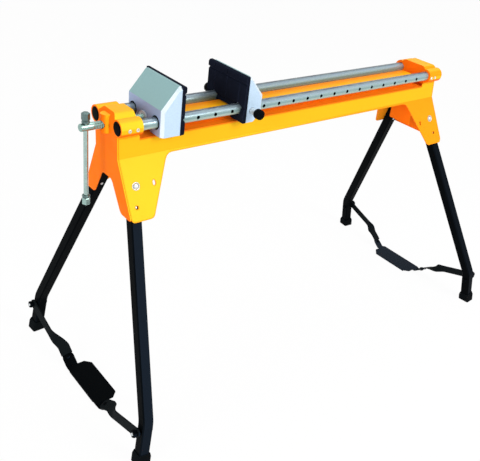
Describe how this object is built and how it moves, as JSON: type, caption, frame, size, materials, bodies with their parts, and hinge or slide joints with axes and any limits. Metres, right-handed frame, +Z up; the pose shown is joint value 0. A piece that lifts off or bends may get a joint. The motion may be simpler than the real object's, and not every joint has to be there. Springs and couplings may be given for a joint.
{
  "type": "folding clamping workbench",
  "caption": "Folding clamping workbench: chromed rails on a pressed beam, screw-driven front jaw, pinned sliding rear jaw and splayed folding legs with foot plates.",
  "frame": {"origin": "centre of the bounding box at the floor", "axes": "+X along the rails from the screw end to the plain end, +Y away from the sprung lock knob, +Z up"},
  "size_m": [1.376, 0.6356, 0.845],
  "materials": {
    "yellow_paint": "glossy powder coat",
    "chrome": "polished",
    "cast_aluminium": "satin casting",
    "black_paint": "satin powder coat",
    "rubber": "matte",
    "black_plastic": "matte",
    "bronze": "machined",
    "zinc": "zinc plated"
  },
  "bodies": {
    "bench_frame": {"side_panel_far": "yellow_paint", "rail_far": "chrome", "rail_plug_front_far": "black_plastic", "rail_plug_rear_far": "black_plastic", "pivot_bolt_front_far": "zinc", "pivot_bolt_rear_far": "zinc", "side_panel_near": "yellow_paint", "front_plate": "yellow_paint", "rear_plate": "yellow_paint", "top_pan": "yellow_paint", "front_head": "yellow_paint", "rear_head": "yellow_paint", "rail_near": "chrome", "rail_plug_front_near": "black_plastic", "rail_plug_rear_near": "black_plastic", "screw_nut": "bronze", "pivot_bolt_front_near": "zinc", "pivot_bolt_rear_near": "zinc"},
    "front_jaw": {"front_jaw_bush_far": "black_plastic", "thrust_collar": "zinc", "front_jaw": "cast_aluminium", "front_jaw_pad": "rubber", "front_jaw_bush_near": "black_plastic"},
    "lead_screw": {"lead_screw": "chrome"},
    "tommy_bar": {"tommy_bar": "chrome", "tommy_cap_upper": "zinc", "tommy_cap_lower": "zinc"},
    "rear_jaw": {"rear_jaw": "cast_aluminium", "rear_jaw_pad": "rubber", "lock_housing": "zinc", "lock_spring": "zinc"},
    "lock_pin": {"lock_pin": "zinc", "lock_knob": "black_plastic"},
    "lock_pin_far": {"lock_pin_far": "black_plastic"},
    "leg_front_near": {"leg_front_near": "black_paint", "foot_front_near": "rubber", "spreader_bolt_front_near": "black_paint"},
    "button_front_near": {"snap_button_front_near": "zinc"},
    "link_front_near": {"spreader_link_front_near": "black_paint"},
    "leg_front_far": {"leg_front_far": "black_paint", "foot_front_far": "rubber", "spreader_bolt_front_far": "black_paint"},
    "button_front_far": {"snap_button_front_far": "zinc"},
    "link_front_far": {"spreader_link_front_far": "black_paint"},
    "foot_plate_front": {"foot_plate_front": "black_paint", "plate_rivet_front_near": "black_paint", "plate_rivet_front_far": "black_paint"},
    "leg_rear_near": {"leg_rear_near": "black_paint", "foot_rear_near": "rubber", "spreader_bolt_rear_near": "black_paint"},
    "button_rear_near": {"snap_button_rear_near": "zinc"},
    "link_rear_near": {"spreader_link_rear_near": "black_paint"},
    "leg_rear_far": {"leg_rear_far": "black_paint", "foot_rear_far": "rubber", "spreader_bolt_rear_far": "black_paint"},
    "button_rear_far": {"snap_button_rear_far": "zinc"},
    "link_rear_far": {"spreader_link_rear_far": "black_paint"},
    "foot_plate_rear": {"foot_plate_rear": "black_paint", "plate_rivet_rear_near": "black_paint", "plate_rivet_rear_far": "black_paint"}
  },
  "joints": [
    {"name": "front_leg_near_fold", "type": "hinge", "parent": "bench_frame", "child": "leg_front_near", "pos_m": [-0.57254, -0.06072, 0.61787], "axis": [0, -0.9092, 0.4163], "range_deg": [0, 97.4]},
    {"name": "front_leg_far_fold", "type": "hinge", "parent": "bench_frame", "child": "leg_front_far", "pos_m": [-0.57254, 0.06072, 0.61787], "axis": [0, -0.9092, -0.4163], "range_deg": [0, 97.4]},
    {"name": "front_link_near_swing", "type": "hinge", "parent": "leg_front_near", "child": "link_front_near", "pos_m": [-0.67629, -0.2907, 0.09475], "axis": [-0.9898, 0.0594, 0.1297], "range_deg": [0, 109.62]},
    {"name": "front_link_far_swing", "type": "hinge", "parent": "leg_front_far", "child": "link_front_far", "pos_m": [-0.67629, 0.2907, 0.09475], "axis": [0.9898, 0.0594, -0.1297], "range_deg": [0, 109.62]},
    {"name": "front_foot_plate_turn", "type": "hinge", "parent": "link_front_near", "child": "foot_plate_front", "pos_m": [-0.65873, -0.108, 0.023], "axis": [0.3832, -0.4824, -0.7877], "range_deg": [0, 104.16]},
    {"name": "front_button_near_snap", "type": "slide", "parent": "leg_front_near", "child": "button_front_near", "axis": [0, -0.9092, 0.4163], "range_m": [0, 0.0045], "stiffness_N_per_m": 400, "springref_m": 0.006},
    {"name": "front_button_far_snap", "type": "slide", "parent": "leg_front_far", "child": "button_front_far", "axis": [0, 0.9092, 0.4163], "range_m": [0, 0.0045], "stiffness_N_per_m": 400, "springref_m": 0.006},
    {"name": "rear_leg_near_fold", "type": "hinge", "parent": "bench_frame", "child": "leg_rear_near", "pos_m": [0.49465, -0.06072, 0.61787], "axis": [0, 0.9092, -0.4163], "range_deg": [0, 95]},
    {"name": "rear_leg_far_fold", "type": "hinge", "parent": "bench_frame", "child": "leg_rear_far", "pos_m": [0.49465, 0.06072, 0.61787], "axis": [0, 0.9092, 0.4163], "range_deg": [0, 95]},
    {"name": "rear_link_near_swing", "type": "hinge", "parent": "leg_rear_near", "child": "link_rear_near", "pos_m": [0.66583, -0.28953, 0.09689], "axis": [-0.9673, -0.1056, -0.2307], "range_deg": [0, 92.95]},
    {"name": "rear_link_far_swing", "type": "hinge", "parent": "leg_rear_far", "child": "link_rear_far", "pos_m": [0.66583, 0.28953, 0.09689], "axis": [0.9673, -0.1056, 0.2307], "range_deg": [0, 92.95]},
    {"name": "rear_foot_plate_turn", "type": "hinge", "parent": "link_rear_near", "child": "foot_plate_rear", "pos_m": [0.64763, -0.108, 0.023], "axis": [0.1867, 0.5962, 0.7808], "range_deg": [0, 102.62]},
    {"name": "rear_button_near_snap", "type": "slide", "parent": "leg_rear_near", "child": "button_rear_near", "axis": [0, -0.9092, 0.4163], "range_m": [0, 0.0045], "stiffness_N_per_m": 400, "springref_m": 0.006},
    {"name": "rear_button_far_snap", "type": "slide", "parent": "leg_rear_far", "child": "button_rear_far", "axis": [0, 0.9092, 0.4163], "range_m": [0, 0.0045], "stiffness_N_per_m": 400, "springref_m": 0.006},
    {"name": "front_jaw_slide", "type": "slide", "parent": "bench_frame", "child": "front_jaw", "axis": [1, 0, 0], "range_m": [-0.03401, 0.01801]},
    {"name": "screw_turn", "type": "hinge", "parent": "front_jaw", "child": "lead_screw", "pos_m": [-0.65629, 0, 0.753], "axis": [1, 0, 0], "range_deg": [-3060, 1620]},
    {"name": "tommy_slide", "type": "slide", "parent": "lead_screw", "child": "tommy_bar", "axis": [0, 0, 1], "range_m": [0, 0.155]},
    {"name": "rear_jaw_slide", "type": "slide", "parent": "bench_frame", "child": "rear_jaw", "axis": [1, 0, 0], "range_m": [-0.15, 0.65]},
    {"name": "lock_pin_push", "type": "slide", "parent": "rear_jaw", "child": "lock_pin", "axis": [0, 1, 0], "range_m": [0, 0.013], "stiffness_N_per_m": 200, "springref_m": 0.016},
    {"name": "lock_pin_far_push", "type": "slide", "parent": "rear_jaw", "child": "lock_pin_far", "axis": [0, -1, 0], "range_m": [0, 0.013], "stiffness_N_per_m": 200, "springref_m": 0.016}
  ],
  "couplings": [
    {"joint": "front_leg_far_fold", "follows": "front_leg_near_fold", "ratio": 1},
    {"joint": "front_link_near_swing", "follows": "front_leg_near_fold", "ratio": 1.1252},
    {"joint": "front_link_far_swing", "follows": "front_leg_near_fold", "ratio": 1.1252},
    {"joint": "front_foot_plate_turn", "follows": "front_leg_near_fold", "ratio": 1.0692},
    {"joint": "rear_leg_far_fold", "follows": "rear_leg_near_fold", "ratio": 1},
    {"joint": "rear_link_near_swing", "follows": "rear_leg_near_fold", "ratio": 0.97823},
    {"joint": "rear_link_far_swing", "follows": "rear_leg_near_fold", "ratio": 0.97823},
    {"joint": "rear_foot_plate_turn", "follows": "rear_leg_near_fold", "ratio": 1.08},
    {"joint": "front_jaw_slide", "follows": "screw_turn", "m_per_rad": 0.00063662}
  ]
}
